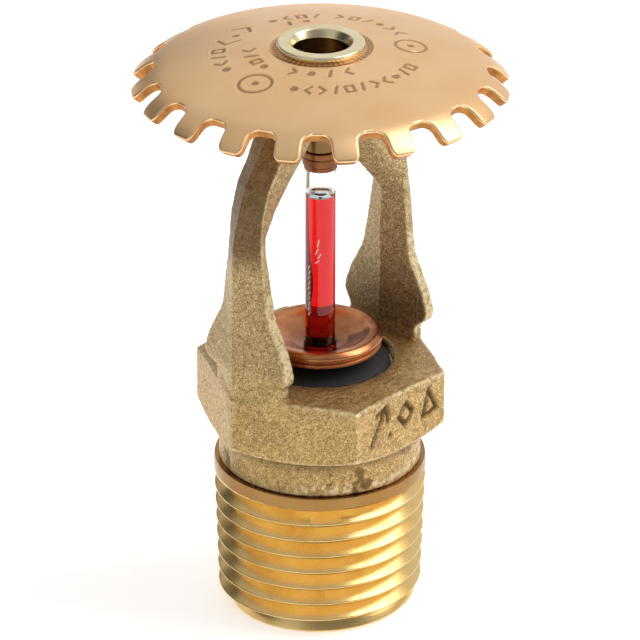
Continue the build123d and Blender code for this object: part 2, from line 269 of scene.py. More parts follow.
def bands(rings, closed=False):
    """Points and faces that join rings of points, each ring having the same number of columns."""
    loops = np.arange(len(rings) * len(rings[0])).reshape(len(rings), -1)
    faces = []
    for one, other in zip(loops, loops[1:]):
        faces += stitched(one, other)
    if closed:
        faces += stitched(loops[-1], loops[0])
    return np.concatenate(rings), faces


def turned(outline, columns, closed):
    """Points and faces of an outline of (radius, height) turned round the axis."""
    angles = even_angles(columns)
    return bands([ring(r, z, angles) for r, z in outline], closed)


def lathed(corners, columns, longest=FAR, closed=False, steps=5):
    """Points and faces of (radius, height, fillet) corners turned round the axis."""
    outline = refined(rounded(corners, steps), longest, closed)
    return turned(outline, columns, closed)


# Depth of a thread below its crest, as a share, at shares of a pitch above the crest. The flank under
# each crest is the steeper one.
THREAD_SHAPE = (
    (0.0, 0.0), (0.03, 0.004), (0.05, 0.035), (0.08, 0.1), (0.3, 0.5), (0.53, 0.9), (0.575, 0.975),
    (0.62, 0.99), (0.66, 0.93), (0.8, 0.5), (0.93, 0.1), (0.955, 0.035), (0.97, 0.004), (1.0, 0.0),
)


def thread_grid(radius_at, depth_at, pitch, low, high, angles, shift=0.0):
    """Points [column, row] of a right-hand thread whose rows follow the helix.

    Rows beyond low and high are drawn in to those heights, and a column's last turn meets the first
    column one pitch up.
    """
    above, share = zip(*THREAD_SHAPE)
    phases = np.array(above[:-1])
    turns = ceil((high - low) / pitch) + 3
    steps = (np.arange(-2, turns)[:, None] + phases[None, :]).ravel()
    base = angles[:, None] / TAU * pitch + shift + low
    height = np.clip(base + steps[None, :] * pitch, low, high)
    phase = ((height - low - shift) / pitch - angles[:, None] / TAU) % 1.0
    below = np.interp(phase, above, share)
    radius = radius_at(height) - depth_at(height) * below
    across, along = np.cos(angles)[:, None], np.sin(angles)[:, None]
    return np.stack([radius * across, radius * along, height], axis=2), len(phases)


def thread_faces(columns, rows, per_pitch):
    """Faces of a thread grid; the last column joins the first one, one pitch of rows further up."""
    here = np.arange(columns * rows).reshape(columns, rows)
    pitch_up = np.minimum(np.arange(rows) + per_pitch, rows - 1)
    after = np.concatenate([here[1:], here[:1, pitch_up]])
    return quads(here[:, :-1], after[:, :-1], after[:, 1:], here[:, 1:])


def threaded(thread, angles, joins, shift=0.0):
    """Points and faces of a thread and of the outlines that close it.

    The thread is its crest's radius and its depth as functions of height, the pitch, and the heights of
    its ends. Each join is an outline, and the rows of the thread that its start and its end meet.
    """
    grid, per_pitch = thread_grid(*thread, angles, shift)
    points, faces = grid.reshape(-1, 3), thread_faces(*grid.shape[:2], per_pitch)
    columns = np.arange(len(points)).reshape(len(angles), -1)
    for outline, *rows in joins:
        more, more_faces = bands([ring(r, z, angles) for r, z in outline])
        rings = len(points) + np.arange(len(more)).reshape(-1, len(angles))
        faces += (np.array(more_faces) + len(points)).tolist()
        points = np.concatenate([points, more])
        for end, row in zip((0, -1), rows):
            faces += stitched(rings[end], columns[:, row])
    return points, faces


# ---- Material helpers ----


class Nodes:
    """Short calls that add and join the nodes of a material or the world."""

    def __init__(self, tree):
        self.tree = tree

    def feed(self, socket, value):
        """Joins another node's output to a socket, or sets the socket to a number or a colour."""
        if isinstance(value, bpy.types.NodeSocket):
            self.tree.links.new(value, socket)
        else:
            socket.default_value = value

    def add(self, kind, settings=None, **values):
        node = self.tree.nodes.new(kind)
        for key, value in (settings or {}).items():
            setattr(node, key, value)
        for socket, value in values.items():
            self.feed(node.inputs[socket.replace("_", " ")], value)
        return node


class Paint(Nodes):
    """A material with a Principled shader."""

    def __init__(self, name, **values):
        self.material = bpy.data.materials.new(name)
        self.material.use_nodes = True
        super().__init__(self.material.node_tree)
        self.shader = self.tree.nodes["Principled BSDF"]
        self.set(**values)
        self.place = self.add("ShaderNodeTexCoord").outputs["Object"]

    def set(self, **values):
        """Feeds the shader's sockets, and gives back the material."""
        for socket, value in values.items():
            self.feed(self.shader.inputs[socket.replace("_", " ")], value)
        return self.material

    def noise(self, size_mm, detail=3.0, rough=0.55, vector=None):
        """Noise whose features are about size_mm across."""
        values = {"Scale": 1 / (size_mm * MM), "Detail": detail, "Roughness": rough}
        return self.add("ShaderNodeTexNoise", Vector=vector or self.place, **values).outputs["Fac"]

    def height(self):
        """Height above the floor in metres."""
        return self.add("ShaderNodeSeparateXYZ", Vector=self.place).outputs["Z"]

    def stretched(self, x, y, z):
        """Object coordinates scaled along each axis, for grain that runs one way."""
        return self.add("ShaderNodeMapping", Vector=self.place, Scale=(x, y, z)).outputs["Vector"]

    def span(self, value, low, high, to_low=0.0, to_high=1.0):
        """Value mapped from low..high to to_low..to_high and clamped."""
        ends = {"From_Min": low, "From_Max": high, "To_Min": to_low, "To_Max": to_high}
        return self.add("ShaderNodeMapRange", {"clamp": True}, Value=value, **ends).outputs["Result"]

    def mix(self, share, a, b):
        """Colour a where share is 0 and b where it is 1."""
        node = self.add("ShaderNodeMix", {"data_type": "RGBA"})
        sockets = {socket.identifier: socket for socket in node.inputs}
        self.feed(sockets["Factor_Float"], share)
        for key, colour in (("A_Color", a), ("B_Color", b)):
            flat = isinstance(colour, (tuple, list))
            self.feed(sockets[key], (*colour, 1.0) if flat else colour)
        return next(s for s in node.outputs if s.identifier == "Result_Color")

    def times(self, a, b):
        node = self.add("ShaderNodeMath", {"operation": "MULTIPLY"})
        self.feed(node.inputs[0], a)
        self.feed(node.inputs[1], b)
        return node.outputs[0]

    def attribute(self, name):
        """A number stored on the mesh's points."""
        return self.add("ShaderNodeAttribute", {"attribute_name": name}).outputs["Fac"]

    def bump(self, height, depth_mm, normal=None):
        """A bump of that depth, in millimetres, over one already made."""
        under = {"Normal": normal} if normal else {}
        values = {"Height": height, "Strength": 1.0, "Distance": depth_mm * MM, **under}
        return self.add("ShaderNodeBump", **values).outputs["Normal"]


# ---- Materials ----


def cast_brass():
    """Sand-cast brass, shot-blasted to a fine sparkle: bright on worn edges and with painted
    highlights, dark with painted shade in the hollows.
    """
    paint = Paint("cast_brass", Metallic=1.0)
    fine = paint.noise(0.15, detail=5.0, rough=0.75)
    coarse = paint.noise(0.45, detail=3.0)
    patch = paint.noise(3.5, detail=4.0)
    low_end = paint.span(paint.height(), 0.024, 0.031, 1.0, 0.0)
    light = paint.mix(low_end, (0.58, 0.42, 0.21), (0.68, 0.45, 0.17))
    dark = paint.mix(low_end, (0.36, 0.24, 0.105), (0.42, 0.25, 0.085))
    colour = paint.mix(paint.span(coarse, 0.35, 0.65), dark, light)
    colour = paint.mix(paint.span(patch, 0.48, 0.7, 0.0, 0.6), colour, (0.34, 0.19, 0.08))
    colour = paint.mix(paint.span(fine, 0.46, 0.33), colour, (0.11, 0.06, 0.02))
    colour = paint.mix(paint.span(fine, 0.53, 0.64), colour, (0.98, 0.8, 0.45))
    broken = paint.span(coarse, 0.38, 0.55, 0.25, 1.0)
    # Worn edges lighter, with painted highlights on the barbs' side faces and above the thread at the
    # front right
    wear = paint.span(paint.attribute("wear"), 0.35, 1.0, 0.0, 0.9)
    colour = paint.mix(paint.times(wear, broken), colour, (0.92, 0.78, 0.5))
    # Painted shade in the hollows, under the boss and on the arms' darker faces, with the dark
    # blemishes and darker impressed marks
    hollow = paint.span(paint.attribute("cavity"), 0.1, 0.9, 0.0, 0.85)
    colour = paint.mix(hollow, colour, (0.1, 0.055, 0.025))
    rough = paint.span(fine, 0.3, 0.7, 0.46, 0.24)
    normal = paint.bump(coarse, 0.12)
    normal = paint.bump(fine, 0.11, normal)
    return paint.set(Base_Color=colour, Roughness=rough, Normal=normal)


def machined_brass(name="machined_brass", base=(0.81, 0.575, 0.24), ring_mm=0.07):
    """Bright turned brass with fine tool rings round the axis."""
    paint = Paint(name, Metallic=1.0)
    rings = paint.noise(ring_mm, detail=1.0, vector=paint.stretched(0.02, 0.02, 1.0))
    patch = paint.noise(3.0, detail=2.0)
    specks = paint.noise(0.3, detail=2.0)
    warm = tuple(c * f for c, f in zip(base, (0.93, 0.87, 0.72)))
    colour = paint.mix(paint.span(patch, 0.4, 0.7), base, warm)
    colour = paint.mix(paint.span(specks, 0.68, 0.78, 0.0, 0.5), colour, (0.45, 0.26, 0.09))
    rough = paint.span(patch, 0.3, 0.7, 0.2, 0.3)
    return paint.set(Base_Color=colour, Roughness=rough, Normal=paint.bump(rings, 0.006))


def stamped_bronze():
    """Satin rolled bronze sheet, a little browner in the struck marks, with painted shade in the
    knurled ring.
    """
    paint = Paint("stamped_bronze", Metallic=1.0)
    grain = paint.noise(0.12, detail=2.0)
    patch = paint.noise(5.0, detail=3.0)
    colour = paint.mix(paint.span(patch, 0.35, 0.7), (0.92, 0.61, 0.33), (0.88, 0.55, 0.27))
    # Darker in the struck marks, with painted shade in the knurled ring round the nosing
    struck = paint.span(paint.attribute("struck"), 0.1, 0.9, 0.0, 0.8)
    colour = paint.mix(struck, colour, (0.36, 0.17, 0.08))
    rough = paint.span(grain, 0.3, 0.7, 0.3, 0.4)
    return paint.set(Base_Color=colour, Roughness=rough, Normal=paint.bump(grain, 0.006))


def sheared_bronze():
    """The orange-brown sheared walls of the slots and tooth tips."""
    paint = Paint("sheared_bronze", Metallic=1.0)
    streak = paint.noise(0.15, detail=2.0, vector=paint.stretched(1.0, 1.0, 0.25))
    patch = paint.noise(1.2, detail=2.0)
    colour = paint.mix(paint.span(patch, 0.35, 0.65), (0.62, 0.28, 0.08), (0.36, 0.16, 0.05))
    rough = paint.span(streak, 0.3, 0.7, 0.35, 0.55)
    return paint.set(Base_Color=colour, Roughness=rough, Normal=paint.bump(streak, 0.03))


def polished_copper(name="polished_copper", roughness=(0.2, 0.3), shade=1.0, sunk=(0.0, 0.001)):
    """Turned and polished copper, faint lathe rings; shade under 1 is painted shade, over 1 painted
    light.

    It has painted shade, darker still, below the heights in sunk, in metres.
    """
    paint = Paint(name, Metallic=1.0)
    rings = paint.noise(0.05, detail=1.0, vector=paint.stretched(0.02, 0.02, 1.0))
    patch = paint.noise(1.6, detail=3.0)
    bright, dull = ([c * shade for c in colour] for colour in ((0.56, 0.23, 0.095), (0.38, 0.14, 0.06)))
    colour = paint.mix(paint.span(patch, 0.35, 0.7), bright, dull)
    colour = paint.mix(paint.span(paint.height(), *sunk), [c * 0.42 for c in dull], colour)
    rough = paint.span(patch, 0.3, 0.7, *roughness)
    return paint.set(Base_Color=colour, Roughness=rough, Normal=paint.bump(rings, 0.003))


def coated_spring():
    """Spring metal under a dark film, satin and slightly blue."""
    paint = Paint("coated_spring", Specular_IOR_Level=0.6)
    grain = paint.noise(0.2, detail=3.0)
    colour = paint.mix(paint.span(grain, 0.35, 0.7), (0.022, 0.023, 0.026), (0.042, 0.045, 0.052))
    rough = paint.span(grain, 0.3, 0.7, 0.38, 0.5)
    return paint.set(Base_Color=colour, Roughness=rough, Normal=paint.bump(grain, 0.004))


def clear_glass(name="clear_glass", index=1.47):
    """Clear drawn glass, with faint drawing streaks."""
    paint = Paint(name, Roughness=0.0, IOR=index, Transmission_Weight=1.0)
    streaks = paint.noise(0.4, detail=2.0, vector=paint.stretched(1.0, 1.0, 0.03))
    colour = paint.mix(paint.span(streaks, 0.3, 0.7), (0.85, 0.87, 0.89), (0.92, 0.93, 0.94))
    return paint.set(Base_Color=colour, Normal=paint.bump(streaks, 0.002))


def red_liquid(name="red_liquid", index=1.36):
    """Dyed liquid: clear, and red through its depth."""
    paint = Paint(name, Roughness=0.0, IOR=index, Transmission_Weight=1.0)
    dye = paint.add("ShaderNodeVolumeAbsorption", Color=(0.92, 0.01, 0.02, 1.0), Density=1300.0)
    paint.feed(paint.tree.nodes["Material Output"].inputs["Volume"], dye.outputs[0])
    swirl = paint.span(paint.noise(0.6, detail=1.0), 0.3, 0.7)
    return paint.set(Base_Color=paint.mix(swirl, (1.0, 0.2, 0.17), (1.0, 0.26, 0.22)))


def white_print():
    """Fired white enamel, a little worn."""
    paint = Paint("white_print", Roughness=0.5)
    worn = paint.span(paint.noise(0.08, detail=2.0), 0.4, 0.7)
    return paint.set(Base_Color=paint.mix(worn, (0.9, 0.88, 0.86), (0.7, 0.62, 0.6)))


CAST = cast_brass()
BRASS = machined_brass()
PALE_BRASS = machined_brass("nosing_brass", (0.86, 0.76, 0.52), 0.1)
# Brass darkened with painted shade, deep in the tapped hole
SHADED_BORE_BRASS = machined_brass("shaded_bore_brass", (0.3, 0.2, 0.09), 0.1)
BAND_BRASS = machined_brass("band_brass", (0.36, 0.2, 0.07), 0.07)
# Brass darkened with painted shade, for the load screw
SHADED_SCREW_BRASS = machined_brass("screw_brass", (0.2, 0.12, 0.05), 0.06)
BRONZE = stamped_bronze()
BRONZE_EDGE = sheared_bronze()
COPPER = polished_copper()
# Copper lightened with painted light, with painted shade low in the dish
LIT_DISH_COPPER = polished_copper("lit_shaded_dish_copper", (0.12, 0.2), 1.4, (0.0281, 0.0293))
# Copper darkened with painted shade, for the spacer cup
SHADED_SPACER_COPPER = polished_copper("shaded_spacer_copper", (0.28, 0.42), 0.4)
DARK_FILM = coated_spring()
GLASS = clear_glass()
# Where the liquid touches the glass, light meets only the small step between the two
WET_GLASS = clear_glass("wet_glass", 1.08)
LIQUID = red_liquid()
LIQUID_SIDE = red_liquid("red_liquid_side", 1.0)
ENAMEL = white_print()

# ---- Pipe thread with the waterway inside it ----


def thread_crest(height):
    """Radius of the pipe thread's crests: tapered, with a lead-in below and a run-out above."""
    straight = THREAD_MAJOR_R - (THREAD_TOP - height) * THREAD_TAPER
    lead = LEAD_IN_R + (straight - LEAD_IN_R) * ramp(height, 0, LEAD_IN)
    start = THREAD_RUNOUT - RUNOUT_EARLY
    return np.minimum(straight, lead) - RUNOUT_TAPER * ramp(height, start, THREAD_TOP - start) ** 4


def thread_depth(height):
    """Depth of the pipe thread, shallow in the lead-in and fading out under the plain band."""
    fade_out = ramp(height, THREAD_RUNOUT + 0.2, -0.35)
    return THREAD_DEPTH * fade_out * np.clip(0.7 + 0.3 * height / LEAD_IN, 0, 1)


def bore_outline():
    """Outline of the waterway inside the thread, from the lower end face up to the upper one."""
    corners = [
        (LEAD_IN_R - 1.1, 0.0, 0.0), (INLET_R + INLET_CHAMFER, 0.0, 0.05),
        (INLET_R, INLET_CHAMFER, 0.05), (INLET_R, INLET_CHAMFER + INLET_LENGTH, 0.3),
        (ORIFICE_R + LINER_GAP, THREAD_TOP, 0.0), (THREAD_MAJOR_R - 0.8, THREAD_TOP, 0.0),
    ]
    return rounded(corners)


def on_plain_band(centre, normal):
    return centre.z > THREAD_RUNOUT + 0.15 and centre.xy.length > THREAD_MAJOR_R - 0.7


def pipe_thread():
    angles = even_angles(360)
    thread = thread_crest, thread_depth, THREAD_PITCH, 0.0, THREAD_TOP
    shape = threaded(thread, angles, [(bore_outline(), 0, -1)], THREAD_PITCH / 2)
    looks = [BRASS, BAND_BRASS]
    male = piece("frame_pipe_thread", shape, "frame", looks, ["frame"], 50)
    second_look(male, on_plain_band)


pipe_thread()


def seat_liner():
    """Machined orifice, seat and recess wall, set just inside the casting."""
    wall = 0.6
    corners = [
        (ORIFICE_R + LINER_GAP, THREAD_TOP + 0.01, 0.0), (ORIFICE_R, ORIFICE_START, 0.2),
        (ORIFICE_R, SEAT_Z, 0.12), (RECESS_R, SEAT_Z, 0.08), (RECESS_R, BOSS_TOP - 0.3, 0.0),
        (RECESS_R + 0.22, BOSS_TOP - 0.25, 0.0), (RECESS_R + 0.22, SEAT_Z - 0.4, 0.0),
        (ORIFICE_R + wall, SEAT_Z - wall, 0.0), (ORIFICE_R + wall, THREAD_TOP + 0.01, 0.0),
    ]
    shape = lathed(corners, 160, closed=True)
    piece("frame_seat", shape, "frame", [PALE_BRASS], ["frame"])


seat_liner()

# ---- Nosing and the tapped hole for the load screw ----


def in_tapped_hole(centre, normal):
    return centre.xy.length < COUNTERBORE_R + 0.1 and centre.z < HEIGHT - 0.8


def nosing():
    plate_top = DOME_TOP - DOME_R + sqrt(DOME_R**2 - NECK_R**2)
    low, high = SCREW_HIGH - 1.2, COUNTERBORE_Z + 0.5
    corners = [
        (SCREW_BORE_R + 0.25, low, 0.0), (NECK_R, low, 0.0), (NECK_R, plate_top - 0.45, 0.1),
        (NOSING_R, plate_top + 0.02, 0.12), (NOSING_R, HEIGHT, 0.22), (MOUTH_R, HEIGHT, 0.18),
        (COUNTERBORE_R, HEIGHT - 0.75, 0.25), (COUNTERBORE_R, high, 0.0),
    ]
    # A tapped hole is a thread that goes outward from the bore
    thread = lambda z: np.full_like(z, SCREW_BORE_R), lambda z: -TAPPED_DEPTH, SCREW_PITCH, low, high
    outline = refined(rounded(corners), 0.35)
    shape = threaded(thread, even_angles(144), [(outline, 0, -1)])
    looks = [PALE_BRASS, SHADED_BORE_BRASS]
    bored = piece("frame_nosing", shape, "frame", looks, ["frame"], 50)
    second_look(bored, in_tapped_hole)


nosing()

# ---- Deflector ----

BEND_X = (DOME_R - BEND_R) * sin(DOME_BEND)
BEND_Z = DOME_TOP - DOME_R + (DOME_R - BEND_R) * cos(DOME_BEND)
TIP_R = BEND_X + BEND_R * sin(TIP_ANGLE)
BEND_START_R = DOME_R * sin(DOME_BEND)
FACING = radians(-137.0)


def plate_surface(radius):
    """Height and outward slope angle of the deflector's upper surface at a radius."""
    radius = np.asarray(radius, float)
    on_dome = radius < BEND_START_R
    dome = np.arcsin(np.clip(radius / DOME_R, -1, 1))
    bend = np.arcsin(np.clip((radius - BEND_X) / BEND_R, -1, 1))
    angle = np.where(on_dome, dome, bend)
    dome_height = DOME_TOP - DOME_R + DOME_R * np.cos(dome)
    height = np.where(on_dome, dome_height, BEND_Z + BEND_R * np.cos(bend))
    return height, angle


def slot_half(radius):
    """Half width of a slot at a radius, with its rounded root and the teeth's rounded tips."""
    run = (radius - SLOT_ROOT_R) / (TIP_R - SLOT_ROOT_R)
    side = SLOT_ROOT_HALF + (SLOT_TIP_HALF - SLOT_ROOT_HALF) * run
    root = np.clip(SLOT_CORNER - (radius - SLOT_ROOT_R), 0, SLOT_CORNER)
    side = side - SLOT_CORNER + np.sqrt(SLOT_CORNER**2 - root**2)
    tip = np.clip(radius - (TIP_R - TOOTH_CORNER), 0, TOOTH_CORNER)
    return side + TOOTH_CORNER - np.sqrt(np.maximum(TOOTH_CORNER**2 - tip**2, 0))


def struck_marks():
    """Plain struck marks laid out in arcs: dots, dashes, chevrons and boxes. They spell nothing.

    Each is (kind, radius from the axis, degrees from the front, size, turn).
    """
    marks = [("ring", 9.8, -40, 1.6, 0), ("dot", 9.8, -40, 0.5, 0)]
    marks += [("ring", 8.8, 99, 1.5, 0), ("dot", 8.8, 99, 0.5, 0)]
    marks += [("chevron", 9.4, -127, 1.2, 180), ("chevron", 9.4, -104, 1.2, 0)]
    marks += [("dot", 9.2, -115, 0.5, 0)]
    rows = (
        (9.3, -16, 8.3, "dot chevron chevron dash box dash chevron chevron dot dash box", 0.66),
        (6.3, -25, 16.5, "chevron dot dash chevron", 0.62),
        (10.0, -92, 8.8, "box dash chevron dot", 0.66),
        (7.0, -86, 11.5, "chevron dash box dot", 0.62),
        (8.9, -177, 9.8, "dash box chevron dot", 0.66),
        (8.9, 121, 9.4, "chevron chevron dot dash box chevron", 0.66),
        (7.1, -168, 14.0, "dot dash", 0.55),
    )
    for radius, start, step, kinds, size in rows:
        for i, kind in enumerate(kinds.split()):
            marks.append((kind, radius, start + i * step, size, 180 * (i % 2)))
    return marks


# Strokes of each mark, as a chain in shares of its size: along the radius, then round the axis
STROKES = {
    "dash": ((-0.9, 0.25), (0.9, -0.25)),
    "chevron": ((-0.9, -0.4), (0.0, 0.45), (0.9, -0.4)),
    "box": ((-0.8, -0.6), (0.8, -0.6), (0.8, 0.6), (-0.8, 0.6), (-0.8, -0.6)),
}


def chain_distance(points, chain):
    """Distance from each flat point to a chain of straight strokes."""
    nearest = np.full(len(points), FAR)
    for first, second in zip(chain, chain[1:]):
        stroke = second - first
        run = np.clip((points - first) @ stroke / max(stroke @ stroke, 1e-9), 0, 1)
        away = np.linalg.norm(points - first - run[:, None] * stroke, axis=1)
        nearest = np.minimum(nearest, away)
    return nearest


def mark_distance(points):
    """Distance in plan from each point to the nearest stroke's centreline."""
    nearest = np.full(len(points), FAR)
    for kind, radius, angle, size, turn in struck_marks():
        around = FACING + radians(angle)
        away = points[:, :2] - radius * np.array([cos(around), sin(around)])
        close = np.abs(away).max(axis=1) < size * 1.5 + 0.5
        near = away[close]
        if kind == "dot":
            found = np.maximum(np.linalg.norm(near, axis=1) - size * 0.4, 0)
        elif kind == "ring":
            found = np.abs(np.linalg.norm(near, axis=1) - size)
        else:
            lean = around + radians(turn)
            axes = np.array([(cos(lean), sin(lean)), (-sin(lean), cos(lean))])
            found = chain_distance(near, size * np.array(STROKES[kind]) @ axes)
        nearest[close] = np.minimum(nearest[close], found)
    return nearest


# Places across a tooth from one edge (-1) to the other (1), close together at the rolled edges
HALF_TOOTH = 1 - np.array([0, 0.02, 0.055, 0.1, 0.16, 0.24, *np.linspace(0.34, 1.0, 10)])
ACROSS = np.concatenate([-HALF_TOOTH, HALF_TOOTH[::-1][1:]])
LANES = len(ACROSS)
# Places across the gap after a tooth, as shares of its width
GAP = np.array([0.25, 0.5, 0.75])
PER_TOOTH = LANES + len(GAP)
COLUMNS = PER_TOOTH * TOOTH_COUNT
# Radii of the rows down a tooth, close together at its root and tip
TOOTH_ROWS = SLOT_ROOT_R + (TIP_R - SLOT_ROOT_R) * np.array([
    0.003, 0.012, 0.035, 0.075, 0.13, 0.2, 0.29, 0.39, 0.49, 0.58, 0.66, 0.73,
    0.79, 0.84, 0.885, 0.92, 0.948, 0.97, 0.985, 0.995, 1.0,
])
# Relief of the upper face: the punch's rolled edge, the struck strokes and their lip, the knurled ring,
# and the crimp against the nosing
EDGE_ROLL = 0.2
STROKE_HALF = 0.21
STROKE_DEPTH = 0.085
LIP_HEIGHT = 0.014
KNURL_R = 4.62
KNURL_HALF = 0.48
KNURL_COUNT = 52
CRIMP_R = 4.16
CRIMP_DEPTH = 0.45


def tooth_middle(tooth):
    return TOOTH_PHASE + tooth * TAU / TOOTH_COUNT


def disc_radii():
    """Radii of the disc's rings: close round the nosing, under the marks and at the slots' roots."""
    fine = 0.115
    radii = [NECK_R + 0.02, 3.9, 4.12, 4.2, 4.24, *np.linspace(4.32, 5.1, 8)]
    radii += [*np.arange(5.2, 11.6, fine), *np.linspace(11.8, SLOT_ROOT_R - 0.45, 10)]
    return np.array(radii + [SLOT_ROOT_R - d for d in (0.3, 0.2, 0.13, 0.07, 0.03, 0.0)])


def plate_places(radii):
    """Radius, angle and distance from the cut edge of every point: the disc's, then the teeth's."""
    half = pi / TOOTH_COUNT - np.arctan2(slot_half(SLOT_ROOT_R + 1e-6), SLOT_ROOT_R)
    gap_angles = half + GAP * (TAU / TOOTH_COUNT - 2 * half)
    one_tooth = np.concatenate([ACROSS * half, gap_angles])
    angles = np.concatenate([tooth_middle(k) + one_tooth for k in range(TOOTH_COUNT)])
    inset = np.concatenate([(1 - np.abs(ACROSS)) * half * SLOT_ROOT_R, np.zeros(len(GAP))])
    away = np.hypot((SLOT_ROOT_R - radii)[:, None], np.tile(inset, TOOTH_COUNT))
    spread = pi / TOOTH_COUNT - np.arctan2(slot_half(TOOTH_ROWS), TOOTH_ROWS)
    inward = (1 - np.abs(ACROSS)) * (spread * TOOTH_ROWS)[:, None]
    to_tip = (TIP_R - TOOTH_ROWS)[:, None] / cos(TIP_ANGLE - 0.15)
    rho, theta, to_edge = [np.repeat(radii, COLUMNS)], [np.tile(angles, len(radii))], [away.ravel()]
    for k in range(TOOTH_COUNT):
        rho.append(np.repeat(TOOTH_ROWS, LANES))
        theta.append((tooth_middle(k) + spread[:, None] * ACROSS).ravel())
        to_edge.append(np.minimum(inward, to_tip).ravel())
    return np.concatenate(rho), np.concatenate(theta), np.concatenate(to_edge)


def plate_relief(flat, rho, theta, to_edge):
    """How far the upper face rises from the smooth plate, and how dark: painted shade in the knurled
    ring.

    There are struck marks with a low lip, a knurled ring round the nosing, and the punch's rolled edge.
    """
    stroke = mark_distance(flat)
    struck = np.clip(1 - (stroke / STROKE_HALF) ** 2, 0, 1)
    rise = LIP_HEIGHT * np.exp(-(((stroke - 0.33) / 0.09) ** 2)) - STROKE_DEPTH * struck
    knurl = 0.5 + 0.5 * np.sin(theta * KNURL_COUNT)
    in_ring = ramp(np.abs(rho - KNURL_R), KNURL_HALF, -KNURL_HALF) ** 0.5
    rise -= in_ring * (0.16 + 0.07 * knurl)
    rise -= CRIMP_DEPTH * ramp(rho, CRIMP_R, NECK_R - CRIMP_R)
    rolled = np.clip(EDGE_ROLL - to_edge, 0, EDGE_ROLL)
    rise -= EDGE_ROLL - np.sqrt(np.maximum(EDGE_ROLL**2 - rolled**2, 0))
    return rise, np.clip(struck + in_ring * (0.75 + 0.25 * knurl), 0, 1)


def sheet(disc, teeth):
    """Faces of one side of the plate, from point numbers [ring, column] and [tooth, row, lane]."""
    faces = []
    for inner, outer in zip(disc, disc[1:]):
        faces += stitched(inner, outer)
    upper, lower = teeth[:, :-1], teeth[:, 1:]
    return faces + quads(upper[..., :-1], upper[..., 1:], lower[..., 1:], lower[..., :-1])


def plate_faces(ring_count, count):
    """Faces of the plate's two sides, then those of the walls round its cut edge and its hole.

    The teeth start from the disc's last ring. The lower side skips most rings under the marks.
    """
    disc = np.arange(ring_count * COLUMNS).reshape(ring_count, COLUMNS)
    roots = disc[-1].reshape(TOOTH_COUNT, PER_TOOTH)
    teeth = np.arange(disc.size, count).reshape(TOOTH_COUNT, -1, LANES)
    teeth = np.concatenate([roots[:, None, :LANES], teeth], axis=1)
    fewer = [i for i in range(ring_count) if i < 6 or i > ring_count - 17 or i % 8 == 0]
    sides = sheet(disc, teeth) + sheet(disc[fewer] + count, teeth + count)
    edge = []
    for tooth, gap in zip(teeth, roots[:, LANES:]):
        edge += [*tooth[:, 0], *tooth[-1, 1:], *tooth[-2::-1, -1], *gap]
    edge = np.array(edge)
    return sides, stitched(edge, edge + count) + stitched(disc[0], disc[0] + count)


def deflector():
    radii = disc_radii()
    rho, theta, to_edge = plate_places(radii)
    height, slope = plate_surface(rho)
    flat = ring(rho, height, theta)
    normal = ring(np.sin(slope), np.cos(slope), theta)
    rise, dark = plate_relief(flat, rho, theta, to_edge)
    sway = 0.035 * noise_at(flat / 6.0) * (rho > 5)
    top = flat + normal * (rise + sway)[:, None]
    bottom = flat + normal * (sway - PLATE)[:, None]

    sides, walls = plate_faces(len(radii), len(flat))
    used, corners = np.unique(np.array(sides + walls), return_inverse=True)
    mesh = bpy.data.meshes.new("deflector_plate")
    points = np.concatenate([top, bottom])[used]
    mesh.from_pydata(points.tolist(), [], corners.reshape(-1, 4).tolist())
    with editing(mesh) as bm:
        bmesh.ops.recalc_face_normals(bm, faces=bm.faces)
    point_values(mesh, struck=np.concatenate([dark, np.zeros(len(flat))])[used])
    plate = linked("deflector_plate", mesh)
    dress(plate, "frame", [BRONZE, BRONZE_EDGE], ["deflector"], crease=38)
    looks = np.repeat([0, 1], [len(sides), len(walls)])
    mesh.polygons.foreach_set("material_index", looks.astype(np.int32))


deflector()

# ---- Casting: the collar, wrench boss, arms and hub ----

CAST_BOTTOM = THREAD_TOP
CAST_TOP = 58.3
VOXEL = 0.17
TAPPED_ROOM = 2.72
MARK_DEPTH = 0.5
MARK_HALF = 0.34
# Straight strokes on the boss's front flat, as chains of (x, z): an arrow, a dot, a diamond and a
# triangle
MARK_CHAINS = (
    ((-4.3, 21.7), (-2.1, 25.3), (-3.5, 24.7)),
    ((-2.1, 25.3), (-1.9, 23.7)),
    ((-1.6, 22.0), (-1.6, 22.0)),
    ((0.7, 22.3), (1.7, 23.5), (0.7, 24.7), (-0.3, 23.5), (0.7, 22.3)),
    ((3.2, 22.2), (5.2, 22.6), (4.0, 25.0), (3.2, 22.2)),
)


def cast_marks(points):
    """Depth of the plain impressed marks on the boss's front flat."""
    away = np.min([chain_distance(points[:, ::2], np.array(c)) for c in MARK_CHAINS], axis=0)
    on_flat = (points[:, 1] < -BOSS_FLAT + 0.7) & (points[:, 2] < BOSS_TOP - 0.3)
    return np.where(on_flat, MARK_DEPTH * np.clip(1 - (away / MARK_HALF) ** 2, 0, 1), 0)


def neighbours(mesh):
    """The two ends of every edge, and how many edges meet at each point."""
    ends = np.empty(len(mesh.edges) * 2, np.int32)
    mesh.edges.foreach_get("vertices", ends)
    ends = ends.reshape(-1, 2)
    valence = np.bincount(ends.ravel(), minlength=len(mesh.vertices)).astype(float)
    return ends, valence


def averaged(values, ends, valence):
    """For each point, the mean of its neighbours' values."""
    total = np.zeros_like(values)
    np.add.at(total, ends[:, 0], values[ends[:, 1]])
    np.add.at(total, ends[:, 1], values[ends[:, 0]])
    return total / (valence[:, None] if values.ndim == 2 else valence)


